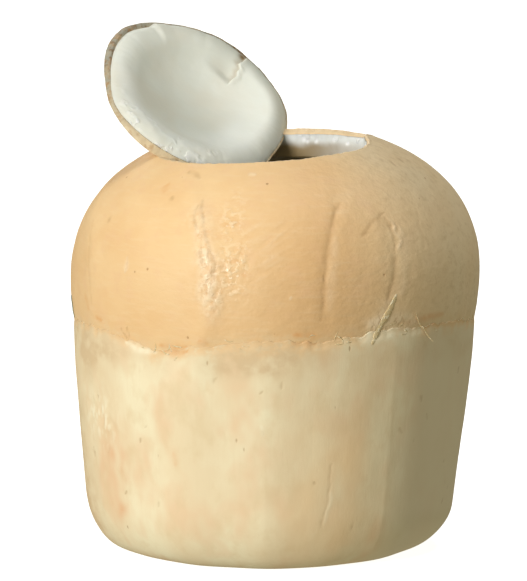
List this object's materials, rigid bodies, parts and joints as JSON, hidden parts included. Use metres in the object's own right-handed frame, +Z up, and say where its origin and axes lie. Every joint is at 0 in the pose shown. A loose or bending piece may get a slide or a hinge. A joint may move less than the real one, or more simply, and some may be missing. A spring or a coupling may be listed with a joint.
{
  "type": "young coconut",
  "caption": "Trimmed young coconut with a tan shell dome on a cream husk base, open at the top, its cut lid of shell and white flesh lying in the mouth.",
  "frame": {"origin": "centre of the flat base, on the surface the coconut stands on", "axes": "+Z up through the mouth; -Y is the front, towards which the lid's hollow side faces; +X is to the right of the front"},
  "size_m": [0.1108, 0.11, 0.1415],
  "materials": {
    "husk": "matte fibrous cut husk",
    "shell": "satin scraped shell, damp in places",
    "flesh": "smooth wet white flesh"
  },
  "bodies": {
    "root": {"husk_base": "husk", "shell": "shell", "flesh_lining": "flesh", "lid_shell": "shell", "lid_flesh": "flesh"}
  },
  "joints": []
}
